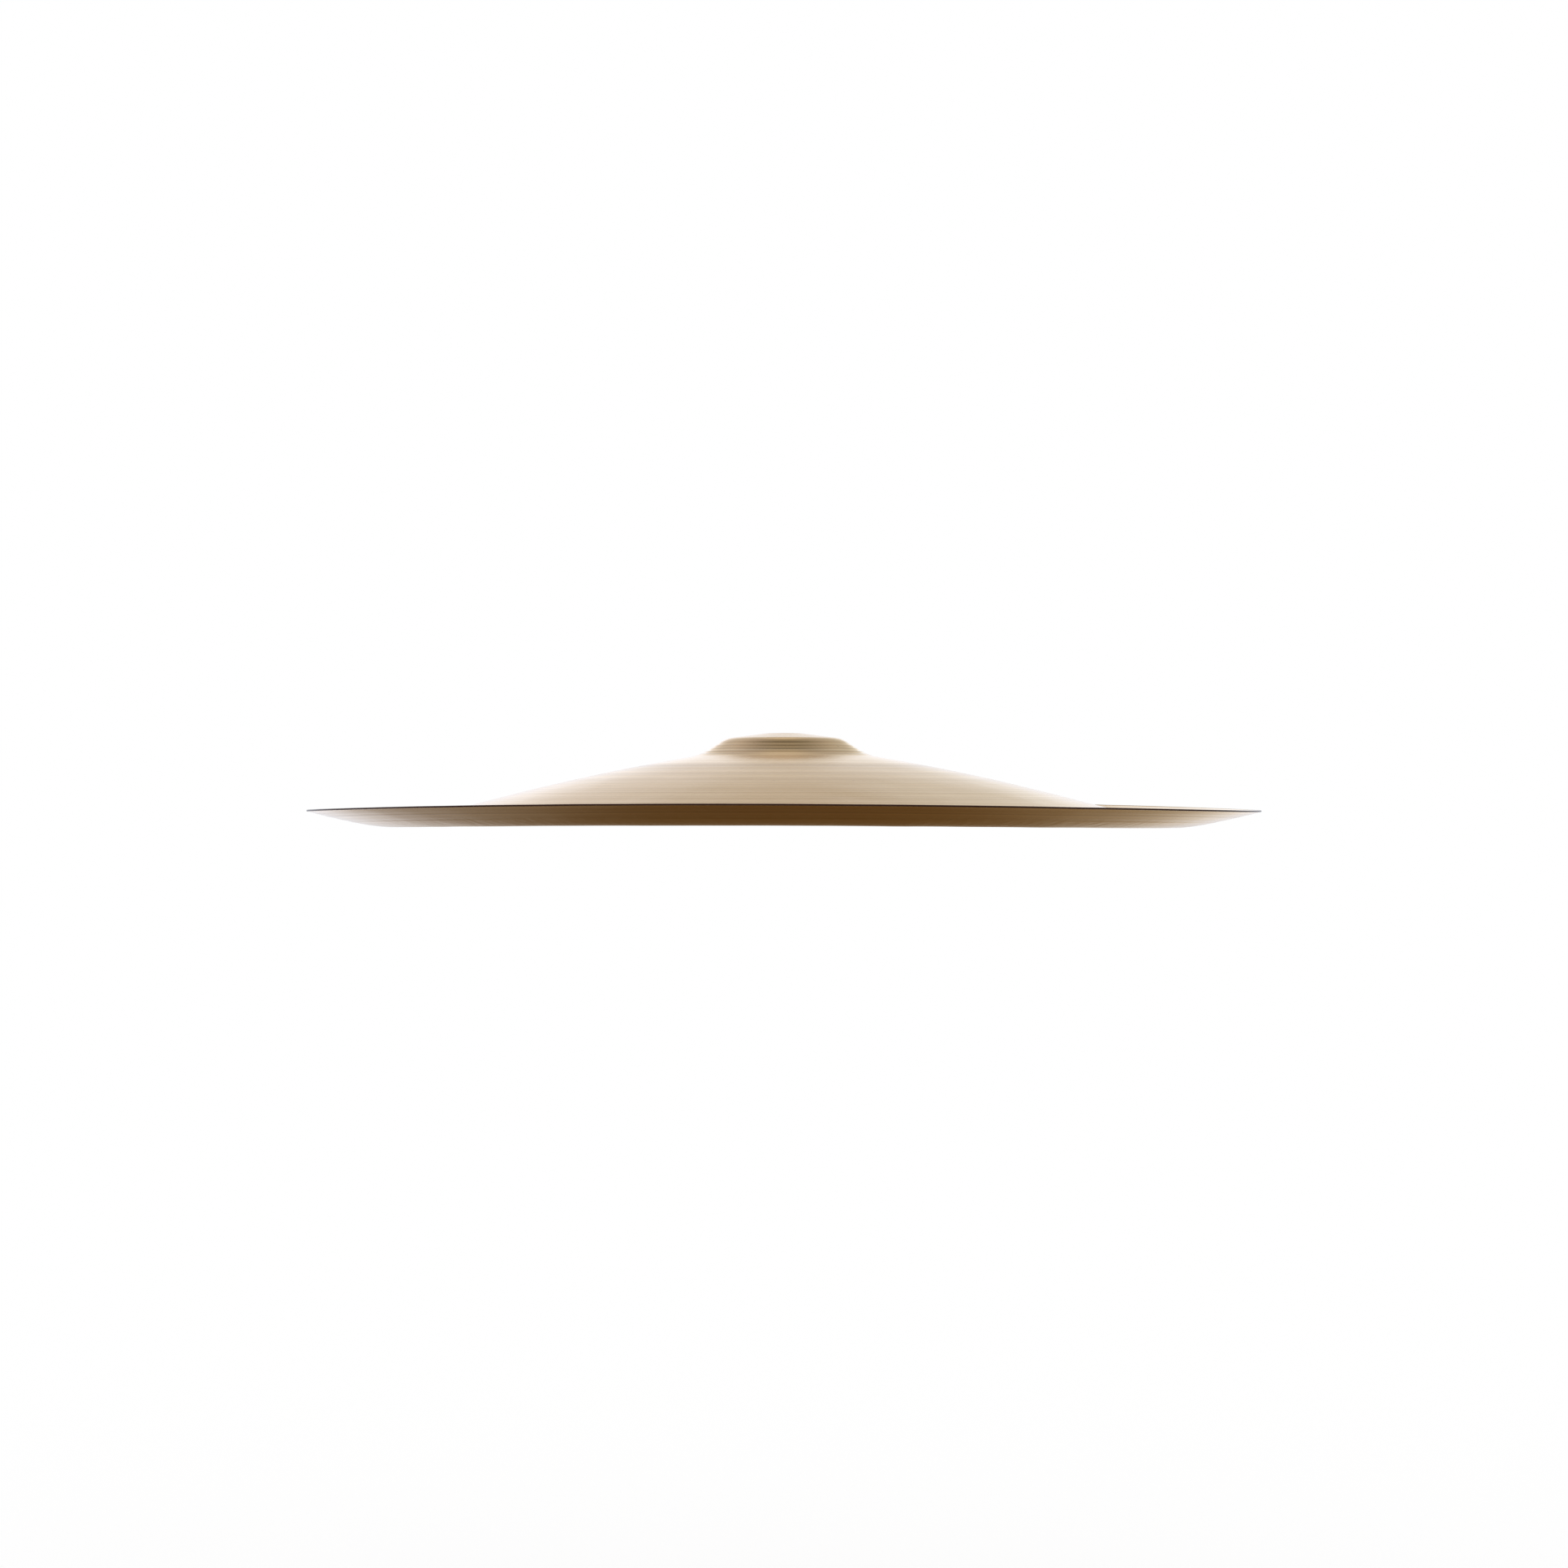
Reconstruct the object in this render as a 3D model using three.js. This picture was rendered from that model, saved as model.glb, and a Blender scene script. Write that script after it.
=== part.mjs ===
// China cymbal, 18 inches across: one bronze disc, cast, rolled, hammered and lathed in one piece.
// Bell up, +Z up, millimetres. The origin is below the middle of the disc, level with its lowest point.
// The section is a chain of arcs and straight runs that join without a kink, from the centre hole
// out to the rim: felt seat, crown, shoulder, side, neck, bow, fold and upturned flange.

import * as THREE from 'three';
import { mergeVertices } from 'three/addons/utils/BufferGeometryUtils.js';

const { degToRad } = THREE.MathUtils;

// Plan sizes, as radii from the axis and widths along a radius
const rimRadius = 228.6;
const foldRadius = 188.5;
const foldWidth = 6;
const flangeTurnWidth = 13.5;
const bowTurnRadius = 130;
const bellRadius = 46;
const neckWidth = 5.3;
const bandedNeckWidth = 4.2;
const crownRadius = 25.3;
const shoulderWidth = 4.7;
const holeRadius = 6;
const seatWidth = 2;
const seatTurnWidth = 1.5;

// Slopes of the upper face: positive falls away from the axis, negative rises to the rim
const seatSlope = degToRad(0);
const crownSlope = degToRad(7.5);
const sideSlope = degToRad(32);
const neckSlope = degToRad(22);
const bowStartSlope = degToRad(9.5);
const bowEndSlope = degToRad(13.9);
const foldEndSlope = degToRad(-5);
const flangeSlope = degToRad(-12.5);
const rimSlope = degToRad(-15.5);

// Sheet: thickest at the bell, thinned by the lathe towards the rim
const bellThickness = 1.25;
const rimThickness = 0.8;
const holeEase = 0.25;

// Lathe bands: shallow scallops cut round the side of the bell and the top of its neck
const bandPitch = 2.1;
const bandDepth = 0.12;

// Set of the disc: the bow and flange have warped a little, with two opposite stretches of the rim
// lifted and the two between them dropped, and the bell has stayed flat
const saddleLift = 1.8;
const saddleSkewLift = 0.5;
const saddleGrowth = 2;

// Facets
const turnSteps = 80;
const edgeSteps = 4;

// The rim's round ends on the rim radius, so the upper face stops short of it
const roundRadius = rimThickness / 2;
const rimEdgeRadius = rimRadius - roundRadius * (1 - Math.sin(rimSlope));

// Spans of the section from the centre outwards, each ending at a radius with a slope.
// Steps are the facets of the upper and lower face. A banded span has its own on the upper face.
const spans = [
  { end: holeRadius + seatWidth, slope: seatSlope, upper: 1, lower: 1 },
  { end: holeRadius + seatWidth + seatTurnWidth, slope: crownSlope, upper: 1, lower: 1 },
  { end: crownRadius, slope: crownSlope, upper: 1, lower: 1 },
  { end: crownRadius + shoulderWidth, slope: sideSlope, upper: 4, lower: 3 },
  { end: bellRadius - neckWidth - bandedNeckWidth, slope: sideSlope, banded: true, lower: 1 },
  { end: bellRadius - neckWidth, slope: neckSlope, banded: true, lower: 2 },
  { end: bellRadius, slope: bowStartSlope, upper: 3, lower: 2 },
  { end: bowTurnRadius, slope: bowEndSlope, upper: 3, lower: 2 },
  { end: foldRadius - foldWidth / 2, slope: bowEndSlope, upper: 3, lower: 2 },
  { end: foldRadius + foldWidth / 2, slope: foldEndSlope, upper: 4, lower: 3 },
  { end: foldRadius + foldWidth / 2 + flangeTurnWidth, slope: flangeSlope, upper: 3, lower: 3 },
  { end: rimEdgeRadius, slope: rimSlope, upper: 3, lower: 2 },
];

// The upper face falls from this point, at the mouth of the hole
const start = { radius: holeRadius + holeEase, height: 0, slope: seatSlope };

// A point of the upper face some share of the way along the arc from one point to a radius and slope
function alongArc(from, endRadius, endSlope, share) {
  const slope = THREE.MathUtils.lerp(from.slope, endSlope, share);
  const turn = Math.sin(endSlope) - Math.sin(from.slope);
  if (Math.abs(turn) < 1e-9) {
    const run = (endRadius - from.radius) * share;
    return { radius: from.radius + run, height: from.height - run * Math.tan(slope), slope };
  }
  const bend = (endRadius - from.radius) / turn;
  return {
    radius: from.radius + bend * (Math.sin(slope) - Math.sin(from.slope)),
    height: from.height - bend * (Math.cos(from.slope) - Math.cos(slope)),
    slope,
  };
}

// The sheet thins evenly from the edge of the felt seat to the rim
function thicknessAt(radius) {
  const seatRadius = holeRadius + seatWidth;
  const share = Math.max(0, (radius - seatRadius) / (rimRadius - seatRadius));
  return THREE.MathUtils.lerp(bellThickness, rimThickness, share);
}

// A point moved square to the upper face, into the sheet
function sunk(point, depth) {
  return new THREE.Vector2(
    point.radius - depth * Math.sin(point.slope),
    point.height - depth * Math.cos(point.slope),
  );
}

// One face of the section from the hole outwards, as points with the depth of any band cut there
function facePoints(face) {
  const points = [{ ...start, cut: 0 }];
  let from = start;
  for (const span of spans) {
    const banded = face === 'upper' && span.banded;
    const steps = banded ? 2 * Math.round((span.end - from.radius) / bandPitch) : span[face];
    for (let step = 1; step <= steps; step += 1) {
      const point = alongArc(from, span.end, span.slope, step / steps);
      points.push({ ...point, cut: banded && step % 2 === 1 ? bandDepth : 0 });
    }
    from = alongArc(from, span.end, span.slope, 1);
  }
  return points;
}

// The rim is rounded over its whole thickness
function rimRound(edge) {
  const middle = sunk(edge, roundRadius);
  const points = [];
  for (let step = 1; step < edgeSteps; step += 1) {
    const turn = edge.slope + Math.PI * (step / edgeSteps);
    points.push(new THREE.Vector2(
      middle.x + roundRadius * Math.sin(turn),
      middle.y + roundRadius * Math.cos(turn),
    ));
  }
  return points;
}

// The closed section: upper face outwards, round the rim, lower face back, and up the eased hole
function section() {
  const upper = facePoints('upper');
  const lower = facePoints('lower');
  const outline = [
    ...upper.map((point) => sunk(point, point.cut)),
    ...rimRound(upper[upper.length - 1]),
    ...lower.reverse().map((point) => sunk(point, thicknessAt(point.radius))),
    new THREE.Vector2(holeRadius, holeEase - bellThickness),
    new THREE.Vector2(holeRadius, -holeEase),
  ];
  outline.push(outline[0].clone());
  return outline.reverse();
}

// The saddle grows from nothing at the foot of the bell to its full lift at the rim
function saddleAt(x, y) {
  const radius = Math.hypot(x, y);
  const reach = Math.max(0, (radius - bellRadius) / (rimRadius - bellRadius));
  const lift = saddleLift * (y * y - x * x) + 2 * saddleSkewLift * x * y;
  return radius > 0 ? (lift / (radius * radius)) * reach ** saddleGrowth : 0;
}

function discGeometry() {
  const turned = new THREE.LatheGeometry(section(), turnSteps);
  turned.deleteAttribute('normal');
  turned.deleteAttribute('uv');
  turned.rotateX(Math.PI / 2);
  const disc = mergeVertices(turned);
  const place = disc.getAttribute('position');
  for (let i = 0; i < place.count; i += 1) {
    place.setZ(i, place.getZ(i) + saddleAt(place.getX(i), place.getY(i)));
  }
  disc.computeBoundingBox();
  disc.translate(0, 0, -disc.boundingBox.min.z);
  disc.computeVertexNormals();
  return disc;
}

const bronze = new THREE.MeshStandardMaterial({ color: 0xb8935a, roughness: 0.28, metalness: 1 });

const cymbal = new THREE.Mesh(discGeometry(), bronze);
cymbal.name = 'cymbal';

const part = new THREE.Group();
part.add(cymbal);

export default part;
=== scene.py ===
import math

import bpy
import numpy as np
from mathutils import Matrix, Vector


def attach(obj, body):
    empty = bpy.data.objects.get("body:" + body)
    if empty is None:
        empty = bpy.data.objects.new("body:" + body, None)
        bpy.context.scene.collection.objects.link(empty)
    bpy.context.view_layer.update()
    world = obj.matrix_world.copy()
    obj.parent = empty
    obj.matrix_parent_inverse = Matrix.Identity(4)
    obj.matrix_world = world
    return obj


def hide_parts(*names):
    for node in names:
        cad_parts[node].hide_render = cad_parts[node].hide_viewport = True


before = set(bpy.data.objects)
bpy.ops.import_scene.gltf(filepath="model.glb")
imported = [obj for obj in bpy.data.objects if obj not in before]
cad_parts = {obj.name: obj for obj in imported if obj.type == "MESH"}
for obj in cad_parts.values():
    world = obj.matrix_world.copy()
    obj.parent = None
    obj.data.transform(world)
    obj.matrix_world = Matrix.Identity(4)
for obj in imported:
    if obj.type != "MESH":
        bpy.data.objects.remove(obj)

# China cymbal, 18 inches across, seen almost edge-on against white.
# The fine disc built here stands for the CAD disc. It follows the same section, and adds the marks of
# the lathe and the hammer. Metres and degrees, in the CAD frame: bell up, the viewer on the -Y side.

MM = 0.001
SEED = 18

# The CAD section: radii, and widths along a radius
RIM_RADIUS = 228.6 * MM
FOLD_RADIUS = 188.5 * MM
FOLD_WIDTH = 6 * MM
FLANGE_TURN_WIDTH = 13.5 * MM
BOW_TURN_RADIUS = 130 * MM
BELL_RADIUS = 46 * MM
NECK_WIDTH = 5.3 * MM
BANDED_NECK_WIDTH = 4.2 * MM
CROWN_RADIUS = 25.3 * MM
SHOULDER_WIDTH = 4.7 * MM
HOLE_RADIUS = 6 * MM
SEAT_WIDTH = 2 * MM
SEAT_TURN_WIDTH = 1.5 * MM
HOLE_EASE = 0.25 * MM
BELL_THICKNESS = 1.25 * MM
RIM_THICKNESS = 0.8 * MM

# Slopes of the upper face: positive falls away from the axis
SEAT_SLOPE = 0
CROWN_SLOPE = 7.5
SIDE_SLOPE = 32
NECK_SLOPE = 22
BOW_START_SLOPE = 9.5
BOW_END_SLOPE = 13.9
FOLD_END_SLOPE = -5
FLANGE_SLOPE = -12.5
RIM_SLOPE = -15.5

# The set of the disc: how far the rim is lifted, straight and askew, and the power of that lift's growth
SADDLE_LIFT = 1.8 * MM
SADDLE_SKEW_LIFT = 0.5 * MM
SADDLE_GROWTH = 2

# Below this difference of sines a span of the section is straight
STRAIGHT = 1e-9
# The rim's round ends on the rim radius, so the upper face stops short of it
RIM_EDGE_RADIUS = RIM_RADIUS - RIM_THICKNESS / 2 * (1 - math.sin(math.radians(RIM_SLOPE)))

# Spans of the section: end radius, end slope, spacing of the rings above and below
SPANS = [
    (HOLE_RADIUS + SEAT_WIDTH, SEAT_SLOPE, 0.9 * MM, 0.9 * MM),
    (HOLE_RADIUS + SEAT_WIDTH + SEAT_TURN_WIDTH, CROWN_SLOPE, 0.4 * MM, 0.75 * MM),
    (CROWN_RADIUS, CROWN_SLOPE, 1.1 * MM, 4 * MM),
    (CROWN_RADIUS + SHOULDER_WIDTH, SIDE_SLOPE, 0.4 * MM, 0.8 * MM),
    (BELL_RADIUS - NECK_WIDTH - BANDED_NECK_WIDTH, SIDE_SLOPE, 0.27 * MM, 3 * MM),
    (BELL_RADIUS - NECK_WIDTH, NECK_SLOPE, 0.27 * MM, 1.5 * MM),
    (BELL_RADIUS, BOW_START_SLOPE, 0.6 * MM, 1.2 * MM),
    (BOW_TURN_RADIUS, BOW_END_SLOPE, 1 * MM, 4 * MM),
    (FOLD_RADIUS - FOLD_WIDTH / 2, BOW_END_SLOPE, 1 * MM, 4 * MM),
    (FOLD_RADIUS + FOLD_WIDTH / 2, FOLD_END_SLOPE, 0.6 * MM, 0.6 * MM),
    (FOLD_RADIUS + FOLD_WIDTH / 2 + FLANGE_TURN_WIDTH, FLANGE_SLOPE, 1 * MM, 1 * MM),
    (RIM_EDGE_RADIUS, RIM_SLOPE, 1 * MM, 1 * MM),
]
SEGMENTS = 252
RIM_STEPS = 8

# Marks of the lathe in the shape: scallops round the bell, and faint waves across the bow and flange,
# which are deeper on the flange
BAND_COUNT = 4
BAND_MARGIN = 1 * MM
BANDED_START = CROWN_RADIUS + SHOULDER_WIDTH + BAND_MARGIN
BANDED_END = BELL_RADIUS - NECK_WIDTH
BAND_PITCH = (BANDED_END - BANDED_START) / BAND_COUNT
BAND_DEPTH = 0.07 * MM
WAVE_PITCHES = (3.7 * MM, 5.9 * MM, 9.3 * MM)
WAVE_DEPTH = 0.006 * MM
WAVE_FADE = 4 * MM
FLANGE_WAVE_GAIN = 2

# Marks of the hammer in the shape: shallow round dents, each felt out to a few of its widths
DENT_COUNT = 520
DENT_START = BELL_RADIUS * 1.2
DENT_END = RIM_RADIUS * 0.99
DENT_DEPTH = (0.02 * MM, 0.06 * MM)
DENT_WIDTH = (6 * MM, 11 * MM)
DENT_REACH = 3

# Colours of the metal, from the lathed tone to what is laid over it
DULL = (0.63, 0.43, 0.22)
BRIGHT = (0.79, 0.565, 0.32)
POLISHED = (0.86, 0.63, 0.375)
PASS_DARK = (0.50, 0.33, 0.17)
GROOVE_DARK = (0.46, 0.30, 0.15)
# Painted highlight: the pale colour of a ring of light painted round the bell
PAINTED_HIGHLIGHT_PALE = (0.95, 0.74, 0.48)
BELL_DARK = (0.36, 0.25, 0.13)
TONED = (0.60, 0.40, 0.22)
TARNISH = (0.16, 0.09, 0.05)
RAW_EDGE = (0.034, 0.012, 0.008)

# Lathe lines are noise along a radius: its scale per metre, its octaves and their roughness. The tone is
# a sum of broad and fine lines, and turns from dull to bright over the tone span.
BROAD_LINES = (160.0, 2.0, 0.5)
FINE_LINES = (900.0, 4.0, 0.7)
BROAD_SHARE = 0.6
TONE_SPAN = (0.35, 0.65)
FINE_LINE_DEPTH = 0.02 * MM
FINE_LINE_STRENGTH = 0.3

# Polish: out to its end the tone is at least this bright. The foot of the bell has the polished colour,
# from the radii where that sets in to the radii where all polish fades.
POLISH = 0.8
POLISH_START = (42 * MM, 45 * MM)
POLISH_END = (62 * MM, 70 * MM)

# The lathe's passes: dark lines on the crests of a sine that the broad lines push to and fro, so that
# their pitch is uneven. They are stronger where the broad lines are bright, and on the flange's lower face.
PASS_PITCH = 3.7 * MM
PASS_DRIFT = 14
PASS_CREST = (0.55, 0.95)
PASS_NOISE_SPAN = (0.35, 0.6)
PASS_STRENGTH = (0.08, 0.4)
PASS_GAIN_BELOW = 1.8

# Single rings: a dull groove on the bow, and a pale ring on the bell that is a painted highlight, standing
# for light caught on the shoulder of the last scallop
GROOVE_RADIUS = 70.5 * MM
GROOVE_REACH = 5 * MM
GROOVE_STRENGTH = 0.6
PAINTED_HIGHLIGHT_RADIUS = 36.8 * MM
PAINTED_HIGHLIGHT_REACH = 1.2 * MM
PAINTED_HIGHLIGHT_STRENGTH = 0.8

# Dark lines where the scallops of the bell meet: how far each reaches, as a share of a scallop, and its
# strength, which follows the fine lines
BELL_LINE_REACH = 0.3
BELL_LINE_NOISE_SPAN = (0.35, 0.65)
BELL_LINE_STRENGTH = (0.15, 0.65)

# Drifting tone and small specks: the noise's scale, octaves and their roughness, the span of it over which
# each sets in, and its strength
DRIFT_NOISE = (14.0, 5.0, 0.6)
DRIFT_SPAN = (0.4, 0.75)
DRIFT_STRENGTH = 0.35
SPECK_NOISE = (330.0, 2.0, 0.5)
SPECK_SPAN = (0.74, 0.80)
SPECK_STRENGTH = 0.7

# The raw edge: oxide, not polished metal, so it isn't metallic and hardly reflects
EDGE_SPAN = (RIM_RADIUS - 0.55 * MM, RIM_RADIUS - 0.35 * MM)
EDGE_GLOSS = 0.08
EDGE_ROUGHNESS = 0.2

# Gloss: the roughness follows the fine lines. It is a share of that on the bell and its foot, and on the
# flange's upper face. The shine is stretched across the lathe lines.
ROUGHNESS = (0.17, 0.27)
ROUGHNESS_SPAN = (0.3, 0.7)
POLISHED_ROUGHNESS = 0.9
FLANGE_ROUGHNESS = 0.7
STRETCH = 0.6
STRETCH_TURN = 0.25

# Chatter: long ripples across the turn of the flange, too fine for the mesh, and fainter inwards of it.
# So many noise cells go round, and so many to a metre of radius. The noise is tilted, to hide its lattice.
RIPPLE_COUNT = 320
RIPPLES_PER_METRE = 130.0
RIPPLE_NOISE = (1.0, 1.0, 0.4)
RIPPLE_DEPTH = 0.12 * MM
RIPPLE_TILT = (0.6, 0.4, 0.3)
RIPPLE_START = (188 * MM, 196 * MM)
RIPPLE_END = (206 * MM, 214 * MM)
RIPPLE_INWARDS = 0.15

# The camera of the photograph: level, 7 rim radii from the axis
PHOTO_SIZE = 1932
FOCAL_PIXELS = 4077.2
HORIZON_DROP_PIXELS = 14
CAMERA_DISTANCE = 7 * RIM_RADIUS
CAMERA_HEIGHT = 15.3 * MM
SENSOR_WIDTH = 36
CLIP_START = 0.05
CLIP_END = 100

# The studio that the metal sees: the elevation of a direction in degrees, the light from there straight
# beyond the cymbal, and the light from there everywhere else
STUDIO = [
    (-90, (0.11, 0.06, 0.02), (0.26, 0.21, 0.15)),
    (-28, (0.12, 0.07, 0.026), (0.27, 0.22, 0.16)),
    (-21, (0.135, 0.083, 0.031), (0.36, 0.32, 0.27)),
    (-17.5, (0.15, 0.095, 0.037), (0.46, 0.43, 0.39)),
    (-14.5, (0.20, 0.15, 0.095), (0.72, 0.70, 0.70)),
    (-11.5, (0.38, 0.335, 0.285), (1.02, 1.06, 1.14)),
    (-8.5, (0.62, 0.59, 0.565), (1.14, 1.22, 1.38)),
    (-5.5, (0.84, 0.83, 0.83), (1.16, 1.25, 1.43)),
    (-3, (0.98, 1.00, 1.06), (1.18, 1.26, 1.44)),
    (0, (1.08, 1.13, 1.22), (1.20, 1.27, 1.43)),
    (13, (1.16, 1.23, 1.42), (1.20, 1.26, 1.41)),
    (16, (1.10, 1.16, 1.33), (0.93, 0.94, 0.98)),
    (18, (1.06, 1.10, 1.24), (0.85, 0.85, 0.86)),
    (20, (1.24, 1.34, 1.56), (0.83, 0.83, 0.84)),
    (21.5, (1.10, 1.13, 1.22), (0.83, 0.83, 0.84)),
    (23, (0.97, 0.98, 1.02), (0.81, 0.81, 0.82)),
    (25.5, (0.68, 0.66, 0.63), (0.74, 0.74, 0.76)),
    (27.5, (0.44, 0.40, 0.345), (0.67, 0.67, 0.69)),
    (31, (0.57, 0.54, 0.49), (0.66, 0.67, 0.71)),
    (38, (0.82, 0.80, 0.77), (0.64, 0.65, 0.70)),
    (44, (0.96, 0.94, 0.92), (0.60, 0.60, 0.65)),
    (50, (0.68, 0.66, 0.64), (0.50, 0.50, 0.55)),
    (60, (0.46, 0.445, 0.43), (0.38, 0.375, 0.38)),
    (64, (0.25, 0.24, 0.23), (0.28, 0.27, 0.27)),
    (90, (0.21, 0.205, 0.20), (0.22, 0.215, 0.21)),
]

# Directions in the studio are unit vectors: across is X, ahead is Y, height is Z.
# What lies beyond the cymbal sets in from the side, and is full this far ahead.
BEYOND_REACH = 0.2
# Straight beyond gives way to the rest between two distances across, which change with the height
MIDDLE_HEIGHTS = (-0.1, 0.2)
MIDDLE_STARTS = (0.095, 0.04)
MIDDLE_ENDS = (0.18, 0.13)
# Tints of all the light beyond, below and above the horizon: on the left, on the right, and the heights
# where they set in and are full
TINT_REACH = 0.2
LOW_TINTS = ((0.98, 1.0, 1.06), (1.12, 1.04, 0.83), (-0.1, -0.28))
HIGH_TINTS = ((1.04, 1.03, 1.01), (0.93, 0.93, 0.84), (0.1, 0.2))

# Two softboxes high to the sides: azimuth from +Y towards +X, elevation, power
SOFTBOXES = [(-88, 49, 8), (100, 46, 8)]
SOFTBOX_DISTANCE = 3
SOFTBOX_SIZE = 0.7

# The floor lies well below. Its light is even, and it is lifted to white for the camera.
FLOOR_LIGHT = (0.85, 0.85, 0.85)
FLOOR_DROP = 0.5
FLOOR_SIZE = 30
FLOOR_COLOUR = (0.9, 0.9, 0.9)
FLOOR_LIFT = 0.235
WHITE = (1, 1, 1)


def arc_point(start, end_radius, end_slope, share):
    """(radius, height, slope) some share of the way along the arc from start to a radius and slope."""
    radius, height, slope = start
    here = slope + (end_slope - slope) * share
    turn = math.sin(end_slope) - math.sin(slope)
    if abs(turn) < STRAIGHT:
        run = (end_radius - radius) * share
        return radius + run, height - run * math.tan(here), here
    bend = (end_radius - radius) / turn
    return (
        radius + bend * (math.sin(here) - math.sin(slope)),
        height - bend * (math.cos(slope) - math.cos(here)),
        here,
    )


def face_points(upper):
    """Points of the upper face from the hole outwards, spaced for the upper or the lower face."""
    points = [(HOLE_RADIUS + HOLE_EASE, 0.0, math.radians(SEAT_SLOPE))]
    for end_radius, end_slope, spacing_above, spacing_below in SPANS:
        start = points[-1]
        spacing = spacing_above if upper else spacing_below
        steps = math.ceil((end_radius - start[0]) / spacing)
        slope = math.radians(end_slope)
        points += [arc_point(start, end_radius, slope, i / steps) for i in range(1, steps + 1)]
    return points


def sunk(point, depth):
    """(radius, height) of a point moved square to the upper face, into the sheet."""
    radius, height, slope = point
    return radius - depth * math.sin(slope), height - depth * math.cos(slope)


def clamped(share):
    return min(1.0, max(0.0, share))


def thickness_at(radius):
    """The sheet thins evenly from the felt seat to the rim."""
    seat = HOLE_RADIUS + SEAT_WIDTH
    share = clamped((radius - seat) / (RIM_RADIUS - seat))
    return BELL_THICKNESS + (RIM_THICKNESS - BELL_THICKNESS) * share


def band_cut(radius):
    """Depth of the scallops that the lathe cut round the side of the bell."""
    if not BANDED_START <= radius <= BANDED_END:
        return 0.0
    return BAND_DEPTH * abs(math.sin(math.pi * (radius - BANDED_START) / BAND_PITCH))


def wave_cut(radius, start):
    """Faint waves that the lathe left across the sheet from a radius outwards, deeper on the flange."""
    fade = clamped((radius - start) / WAVE_FADE)
    fade *= 1 + FLANGE_WAVE_GAIN * clamped((radius - FOLD_RADIUS) / FLANGE_TURN_WIDTH)
    return fade * WAVE_DEPTH * sum(1 - math.cos(math.tau * radius / pitch) for pitch in WAVE_PITCHES)


def rim_round(edge):
    """Points round the rim, over the whole thickness, after the last point of the upper face."""
    half = RIM_THICKNESS / 2
    radius, height = sunk(edge, half)
    turns = [edge[2] + math.pi * i / RIM_STEPS for i in range(1, RIM_STEPS)]
    return [(radius + half * math.sin(turn), height + half * math.cos(turn)) for turn in turns]


def section():
    """The closed outline of the sheet: out along the upper face, round the rim, back below, up the hole."""
    upper = face_points(True)
    lower = face_points(False)
    outline = [sunk(p, band_cut(p[0]) + wave_cut(p[0], BELL_RADIUS)) for p in upper]
    outline += rim_round(upper[-1])
    outline += [sunk(p, thickness_at(p[0]) - wave_cut(p[0], FOLD_RADIUS)) for p in reversed(lower)]
    outline += [(HOLE_RADIUS, HOLE_EASE - BELL_THICKNESS), (HOLE_RADIUS, -HOLE_EASE)]
    return np.array(outline)


def saddle(x, y):
    """The disc's set: two opposite stretches of the rim stand up, and the two between them are down."""
    radius = np.hypot(x, y)
    reach = np.clip((radius - BELL_RADIUS) / (RIM_RADIUS - BELL_RADIUS), 0, None)
    lift = SADDLE_LIFT * (y * y - x * x) + 2 * SADDLE_SKEW_LIFT * x * y
    return lift / radius**2 * reach**SADDLE_GROWTH


def dents(x, y):
    """Shallow hammer marks over the bow and the flange, the same above and below."""
    rng = np.random.default_rng(SEED)
    radius = np.sqrt(rng.uniform(DENT_START**2, DENT_END**2, DENT_COUNT))
    angle = rng.uniform(0, math.tau, DENT_COUNT)
    depth = rng.uniform(*DENT_DEPTH, DENT_COUNT)
    width = rng.uniform(*DENT_WIDTH, DENT_COUNT)
    total = np.zeros_like(x)
    for r, a, d, w in zip(radius, angle, depth, width):
        away = ((x - r * math.cos(a)) ** 2 + (y - r * math.sin(a)) ** 2) / w**2
        near = away < DENT_REACH**2
        total[near] -= d * np.exp(-away[near])
    return total


def turned_grid():
    """Vertices of the section turned round the axis, ring after ring, with the lowest at height 0."""
    outline = section()
    angle = np.arange(SEGMENTS) * math.tau / SEGMENTS
    x = outline[:, :1] * np.cos(angle)
    y = outline[:, :1] * np.sin(angle)
    z = outline[:, 1:] + saddle(x, y) + dents(x.ravel(), y.ravel()).reshape(x.shape)
    return np.stack([x, y, z - z.min()], axis=2)


def grid_faces(rings):
    """Four-sided faces between neighbouring rings, facing out of the metal."""
    faces = []
    for ring in range(rings):
        here = ring * SEGMENTS
        following = (ring + 1) % rings * SEGMENTS
        for i in range(SEGMENTS):
            j = (i + 1) % SEGMENTS
            faces.append((here + i, following + i, following + j, here + j))
    return faces


def build_disc(material):
    """The cymbal as one fine closed mesh that stands for the CAD disc."""
    grid = turned_grid()
    mesh = bpy.data.meshes.new("cymbal_disc")
    mesh.from_pydata(grid.reshape(-1, 3).tolist(), [], grid_faces(len(grid)))
    mesh.polygons.foreach_set("use_smooth", [True] * len(mesh.polygons))
    mesh.materials.append(material)
    mesh.update()
    disc = bpy.data.objects.new("cymbal_disc", mesh)
    bpy.context.scene.collection.objects.link(disc)
    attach(disc, "root")
    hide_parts("cymbal")


def add_node(tree, kind, inputs=None, **settings):
    """A shader node with its settings. Its inputs, by name or number, get a value or a link."""
    node = tree.nodes.new(kind)
    for name, value in settings.items():
        setattr(node, name, value)
    for key, value in (inputs or {}).items():
        if isinstance(value, bpy.types.NodeSocket):
            tree.links.new(value, node.inputs[key])
        else:
            node.inputs[key].default_value = value
    return node


def math_node(tree, operation, a, b=0.0):
    """A sum, product or other operation on two values. Some take only the first."""
    return add_node(tree, "ShaderNodeMath", {0: a, 1: b}, operation=operation).outputs[0]


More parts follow.
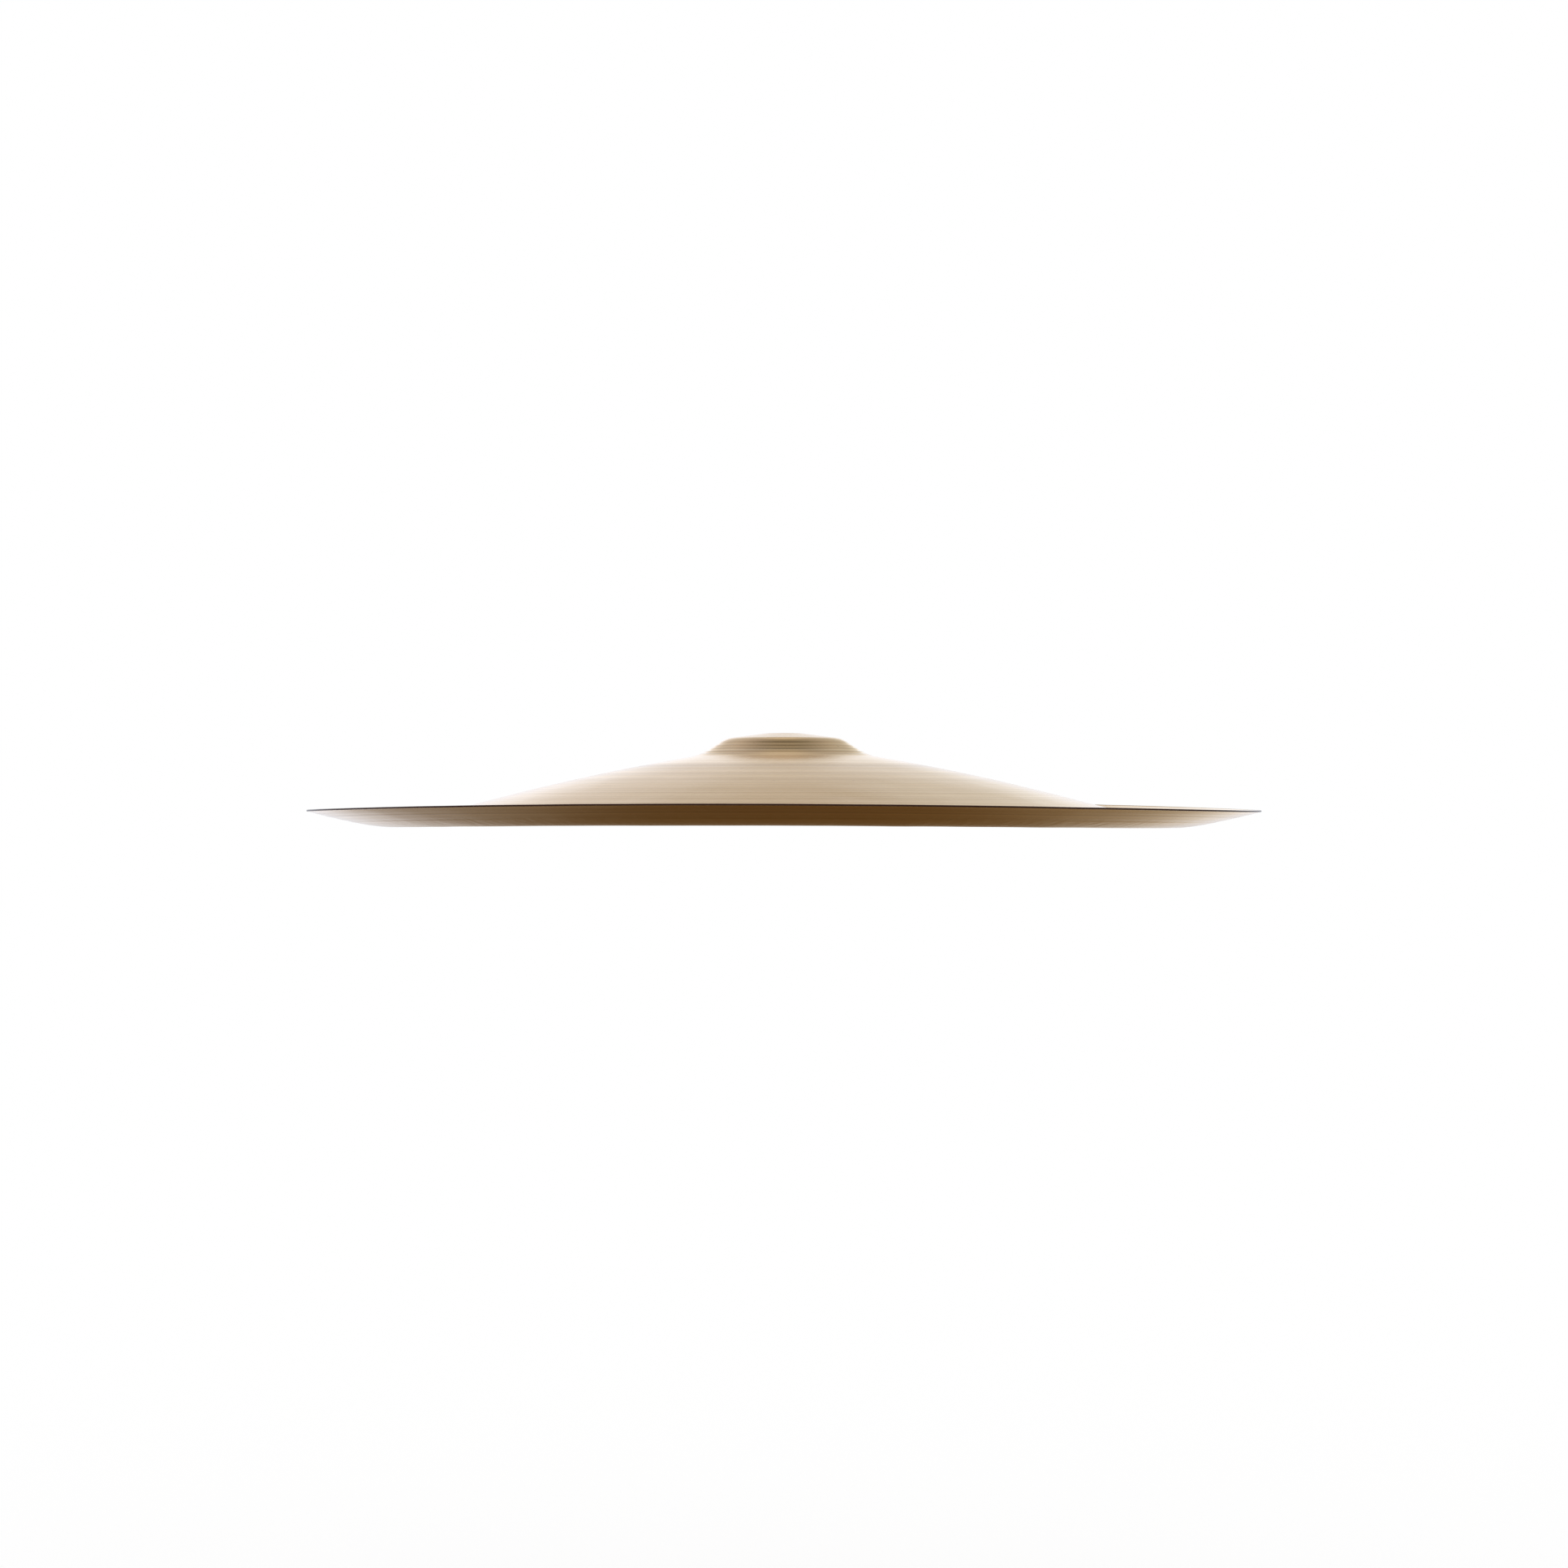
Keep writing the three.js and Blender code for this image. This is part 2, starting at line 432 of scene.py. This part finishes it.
def times(tree, a, b):
    return math_node(tree, "MULTIPLY", a, b)


def vector_node(tree, operation, inputs):
    """The outputs of an operation on vectors."""
    return add_node(tree, "ShaderNodeVectorMath", inputs, operation=operation).outputs


def map_range(tree, value, start, end, at_start, at_end):
    """A value carried from one span to another, and held at its ends."""
    inputs = {0: value, 1: start, 2: end, 3: at_start, 4: at_end}
    return add_node(tree, "ShaderNodeMapRange", inputs).outputs[0]


def mix_colour(tree, share, a, b, blend="MIX"):
    """Two colours mixed, each a socket or a plain colour."""
    a, b = ((*colour, 1) if isinstance(colour, tuple) else colour for colour in (a, b))
    inputs = {0: share, 6: a, 7: b}
    return add_node(tree, "ShaderNodeMix", inputs, data_type="RGBA", blend_type=blend).outputs[2]


def noise(tree, place, scale, octaves, roughness):
    """Noise by the place on the cymbal."""
    inputs = {"Vector": place, "Scale": scale, "Detail": octaves, "Roughness": roughness}
    return add_node(tree, "ShaderNodeTexNoise", inputs).outputs["Fac"]


def ring_noise(tree, radius, per_metre, octaves, roughness):
    """Noise that changes only with the distance from the axis, as lathe lines do."""
    place = times(tree, radius, per_metre)
    inputs = {"W": place, "Scale": 1.0, "Detail": octaves, "Roughness": roughness}
    return add_node(tree, "ShaderNodeTexNoise", inputs, noise_dimensions="1D").outputs["Fac"]


def ring_mask(tree, radius, centre, reach, strength):
    """Full on a circle round the axis, and gone at a reach to both sides of it."""
    away = math_node(tree, "ABSOLUTE", math_node(tree, "SUBTRACT", radius, centre))
    return map_range(tree, away, 0.0, reach, strength, 0.0)


def flange_faces(tree, radius):
    """Masks of the flange's upper and lower face, beyond its turn."""
    normal = add_node(tree, "ShaderNodeNewGeometry").outputs["Normal"]
    facing = add_node(tree, "ShaderNodeSeparateXYZ", {0: normal}).outputs[2]
    flange = map_range(tree, radius, *RIPPLE_END, 0.0, 1.0)
    above = times(tree, flange, math_node(tree, "GREATER_THAN", facing, 0.0))
    return above, math_node(tree, "SUBTRACT", flange, above)


def lathed_tone(tree, radius, broad_lines, fine_lines):
    """Dull and bright rings, with the bell and its foot polished."""
    broad = times(tree, broad_lines, BROAD_SHARE)
    fine = times(tree, fine_lines, 1 - BROAD_SHARE)
    tone = map_range(tree, math_node(tree, "ADD", broad, fine), *TONE_SPAN, 0.0, 1.0)
    polish = map_range(tree, radius, *POLISH_END, POLISH, 0.0)
    tone = math_node(tree, "MAXIMUM", tone, polish)
    foot = times(tree, polish, map_range(tree, radius, *POLISH_START, 0.0, 1.0))
    return mix_colour(tree, foot, mix_colour(tree, tone, DULL, BRIGHT), POLISHED)


def pass_lines(tree, radius, broad_lines, below):
    """Mask of the dark lines of the lathe's passes."""
    drift = times(tree, broad_lines, PASS_DRIFT)
    turns = math_node(tree, "ADD", times(tree, radius, math.tau / PASS_PITCH), drift)
    lines = map_range(tree, math_node(tree, "SINE", turns), *PASS_CREST, 0.0, 1.0)
    lines = times(tree, lines, map_range(tree, broad_lines, *PASS_NOISE_SPAN, *PASS_STRENGTH))
    return times(tree, lines, map_range(tree, below, 0.0, 1.0, 1.0, PASS_GAIN_BELOW))


def bell_lines(tree, radius, fine_lines):
    """Mask of the dark lines where the scallops of the bell meet."""
    scallops = math_node(tree, "DIVIDE", math_node(tree, "SUBTRACT", radius, BANDED_START), BAND_PITCH)
    away = math_node(tree, "PINGPONG", scallops, 0.5)
    lines = map_range(tree, away, 0.0, BELL_LINE_REACH, 1.0, 0.0)
    lines = times(tree, lines, map_range(tree, fine_lines, *BELL_LINE_NOISE_SPAN, *BELL_LINE_STRENGTH))
    within_end = math_node(tree, "LESS_THAN", radius, BANDED_END + BAND_MARGIN)
    past_start = math_node(tree, "GREATER_THAN", radius, BANDED_START - BAND_MARGIN)
    return times(tree, lines, times(tree, within_end, past_start))


def bronze_colour(tree, place, radius, broad_lines, fine_lines, below, edge):
    """The lathed tone, with passes, rings, bell lines, drift, specks and raw edge laid over it in turn."""
    drift = map_range(tree, noise(tree, place, *DRIFT_NOISE), *DRIFT_SPAN, 0.0, DRIFT_STRENGTH)
    specks = map_range(tree, noise(tree, place, *SPECK_NOISE), *SPECK_SPAN, 0.0, SPECK_STRENGTH)
    colour = lathed_tone(tree, radius, broad_lines, fine_lines)
    for mask, shade in (
        (pass_lines(tree, radius, broad_lines, below), PASS_DARK),
        (ring_mask(tree, radius, GROOVE_RADIUS, GROOVE_REACH, GROOVE_STRENGTH), GROOVE_DARK),
        # Painted highlight: a pale ring round the bell, not wear
        (ring_mask(tree, radius, PAINTED_HIGHLIGHT_RADIUS, PAINTED_HIGHLIGHT_REACH, PAINTED_HIGHLIGHT_STRENGTH), PAINTED_HIGHLIGHT_PALE),
        (bell_lines(tree, radius, fine_lines), BELL_DARK),
        (drift, TONED),
        (specks, TARNISH),
        (edge, RAW_EDGE),
    ):
        colour = mix_colour(tree, mask, colour, shade)
    return colour


def bronze_roughness(tree, radius, fine_lines, above, edge):
    """Satin lines, smoother on the bell and on the flange's upper face, rougher at the edge."""
    rough = map_range(tree, fine_lines, *ROUGHNESS_SPAN, *ROUGHNESS)
    rough = times(tree, rough, map_range(tree, radius, *POLISH_END, POLISHED_ROUGHNESS, 1.0))
    rough = times(tree, rough, map_range(tree, above, 0.0, 1.0, 1.0, FLANGE_ROUGHNESS))
    return math_node(tree, "ADD", rough, times(tree, edge, EDGE_ROUGHNESS))


def chatter_height(tree, flat, radius):
    """Height of the ripples across the turn of the flange: noise round the axis that changes outwards."""
    around = vector_node(tree, "NORMALIZE", {0: flat})[0]
    around = vector_node(tree, "SCALE", {0: around, "Scale": RIPPLE_COUNT / math.tau})[0]
    outwards = times(tree, radius, RIPPLES_PER_METRE)
    outwards = add_node(tree, "ShaderNodeCombineXYZ", {2: outwards}).outputs[0]
    place = vector_node(tree, "ADD", {0: around, 1: outwards})[0]
    inputs = {"Vector": place, "Rotation": RIPPLE_TILT}
    place = add_node(tree, "ShaderNodeVectorRotate", inputs, rotation_type="EULER_XYZ").outputs[0]
    ripple = noise(tree, place, *RIPPLE_NOISE)
    start = map_range(tree, radius, *RIPPLE_START, RIPPLE_INWARDS, 1.0)
    end = map_range(tree, radius, *RIPPLE_END, 1.0, 0.0)
    return times(tree, ripple, times(tree, start, end))


def bronze_relief(tree, flat, radius, fine_lines):
    """The surface's normal with the chatter and the fine lathe lines."""
    height = chatter_height(tree, flat, radius)
    inputs = {"Strength": 1.0, "Distance": RIPPLE_DEPTH, "Height": height}
    chatter = add_node(tree, "ShaderNodeBump", inputs).outputs[0]
    inputs = {"Strength": FINE_LINE_STRENGTH, "Distance": FINE_LINE_DEPTH, "Height": fine_lines}
    return add_node(tree, "ShaderNodeBump", {**inputs, "Normal": chatter}).outputs[0]


def make_bronze():
    """Bright lathed bronze: circular tool lines, drifting tone, small tarnish specks and a dark raw edge."""
    material = bpy.data.materials.new("lathed_bronze")
    material.use_nodes = True
    tree = material.node_tree
    place = add_node(tree, "ShaderNodeTexCoord").outputs["Object"]
    split = add_node(tree, "ShaderNodeSeparateXYZ", {0: place}).outputs
    flat = add_node(tree, "ShaderNodeCombineXYZ", {0: split[0], 1: split[1]}).outputs[0]
    radius = vector_node(tree, "LENGTH", {0: flat})["Value"]
    broad_lines = ring_noise(tree, radius, *BROAD_LINES)
    fine_lines = ring_noise(tree, radius, *FINE_LINES)
    above, below = flange_faces(tree, radius)
    edge = map_range(tree, radius, *EDGE_SPAN, 0.0, 1.0)
    inputs = tree.nodes["Principled BSDF"].inputs
    for name, socket in (
        ("Base Color", bronze_colour(tree, place, radius, broad_lines, fine_lines, below, edge)),
        ("Metallic", math_node(tree, "SUBTRACT", 1.0, edge)),
        ("Roughness", bronze_roughness(tree, radius, fine_lines, above, edge)),
        ("Tangent", add_node(tree, "ShaderNodeTangent", direction_type="RADIAL", axis="Z").outputs[0]),
        ("Normal", bronze_relief(tree, flat, radius, fine_lines)),
    ):
        tree.links.new(socket, inputs[name])
    inputs["Specular IOR Level"].default_value = EDGE_GLOSS
    inputs["Anisotropic"].default_value = STRETCH
    inputs["Anisotropic Rotation"].default_value = STRETCH_TURN
    return material


def studio_ramp(tree, height, column):
    """The light of one column of the studio table, by the height of a direction."""
    share = map_range(tree, height, -1.0, 1.0, 0.0, 1.0)
    ramp = add_node(tree, "ShaderNodeValToRGB", {0: share})
    stops = ramp.color_ramp.elements
    while len(stops) < len(STUDIO):
        stops.new(0.5)
    for stop, row in zip(stops, STUDIO):
        stop.position = 0.5 + 0.5 * math.sin(math.radians(row[0]))
        stop.color = (*row[column], 1)
    return ramp.outputs[0]


def studio_light(tree):
    """What the metal sees: bright near the horizon, dim above and below, dimmest low straight beyond."""
    direction = add_node(tree, "ShaderNodeTexCoord").outputs["Generated"]
    across, ahead, height = add_node(tree, "ShaderNodeSeparateXYZ", {0: direction}).outputs
    beyond = map_range(tree, ahead, 0.0, BEYOND_REACH, 0.0, 1.0)
    start = map_range(tree, height, *MIDDLE_HEIGHTS, *MIDDLE_STARTS)
    end = map_range(tree, height, *MIDDLE_HEIGHTS, *MIDDLE_ENDS)
    away = math_node(tree, "ABSOLUTE", across)
    middle = times(tree, map_range(tree, away, start, end, 1.0, 0.0), beyond)
    light = mix_colour(tree, middle, studio_ramp(tree, height, 2), studio_ramp(tree, height, 1))
    side = map_range(tree, across, -TINT_REACH, TINT_REACH, 0.0, 1.0)
    for left, right, heights in LOW_TINTS, HIGH_TINTS:
        share = times(tree, map_range(tree, height, *heights, 0.0, 1.0), beyond)
        light = mix_colour(tree, share, light, mix_colour(tree, side, left, right), "MULTIPLY")
    return light


def make_world():
    """White to the camera, even light on the floor, and the studio in the metal."""
    world = bpy.data.worlds.new("studio")
    bpy.context.scene.world = world
    world.use_nodes = True
    world.cycles.sampling_method = "NONE"
    tree = world.node_tree
    tree.nodes.clear()
    path = add_node(tree, "ShaderNodeLightPath").outputs
    light = mix_colour(tree, path["Is Diffuse Ray"], studio_light(tree), FLOOR_LIGHT)
    light = mix_colour(tree, path["Is Camera Ray"], light, WHITE)
    background = add_node(tree, "ShaderNodeBackground", {"Color": light, "Strength": 1.0})
    add_node(tree, "ShaderNodeOutputWorld", {"Surface": background.outputs[0]})


def make_softboxes():
    """Soft square lamps for the fans of light that turned metal shows. They light no matt surface."""
    for azimuth, elevation, power in SOFTBOXES:
        turn = math.radians(azimuth)
        rise = math.radians(elevation)
        away = Vector((math.sin(turn) * math.cos(rise), math.cos(turn) * math.cos(rise), math.sin(rise)))
        data = bpy.data.lights.new("softbox", "AREA")
        data.size = SOFTBOX_SIZE
        data.energy = power
        lamp = bpy.data.objects.new("softbox", data)
        lamp.location = away * SOFTBOX_DISTANCE
        lamp.rotation_euler = away.to_track_quat("Z", "Y").to_euler()
        lamp.visible_diffuse = False
        bpy.context.scene.collection.objects.link(lamp)


def floor_material():
    """Even pale matt grey, lifted to white for the camera, and clear when seen from below."""
    material = bpy.data.materials.new("pale_floor")
    material.use_nodes = True
    tree = material.node_tree
    shader = tree.nodes["Principled BSDF"]
    shader.inputs["Base Color"].default_value = (*FLOOR_COLOUR, 1)
    shader.inputs["Roughness"].default_value = 1.0
    shader.inputs["Specular IOR Level"].default_value = 0.0
    shader.inputs["Emission Color"].default_value = (*WHITE, 1)
    path = add_node(tree, "ShaderNodeLightPath").outputs
    tree.links.new(times(tree, path["Is Camera Ray"], FLOOR_LIFT), shader.inputs["Emission Strength"])
    from_below = add_node(tree, "ShaderNodeNewGeometry").outputs["Backfacing"]
    clear = add_node(tree, "ShaderNodeBsdfTransparent").outputs[0]
    mixed = add_node(tree, "ShaderNodeMixShader", {0: from_below, 1: shader.outputs[0], 2: clear})
    tree.links.new(mixed.outputs[0], tree.nodes["Material Output"].inputs["Surface"])
    return material


def make_floor():
    """A pale floor well below the cymbal: it takes its shadow, and isn't mirrored in the metal."""
    half = FLOOR_SIZE / 2
    corners = [(x * half, y * half, -FLOOR_DROP) for x, y in ((-1, -1), (1, -1), (1, 1), (-1, 1))]
    mesh = bpy.data.meshes.new("floor")
    mesh.from_pydata(corners, [], [(0, 1, 2, 3)])
    mesh.materials.append(floor_material())
    floor = bpy.data.objects.new("floor", mesh)
    bpy.context.scene.collection.objects.link(floor)
    floor.visible_glossy = False


def make_camera():
    """The photograph's camera, level and almost in the plane of the rim."""
    data = bpy.data.cameras.new("camera")
    data.sensor_width = SENSOR_WIDTH
    data.lens = FOCAL_PIXELS / PHOTO_SIZE * SENSOR_WIDTH
    data.shift_y = HORIZON_DROP_PIXELS / PHOTO_SIZE
    data.clip_start = CLIP_START
    data.clip_end = CLIP_END
    camera = bpy.data.objects.new("camera", data)
    camera.location = (0, -CAMERA_DISTANCE, CAMERA_HEIGHT)
    camera.rotation_euler = (math.radians(90), 0, 0)
    bpy.context.scene.collection.objects.link(camera)
    bpy.context.scene.camera = camera


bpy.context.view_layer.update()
build_disc(make_bronze())
make_world()
make_softboxes()
make_floor()
make_camera()
bpy.context.scene.view_settings.view_transform = "Standard"
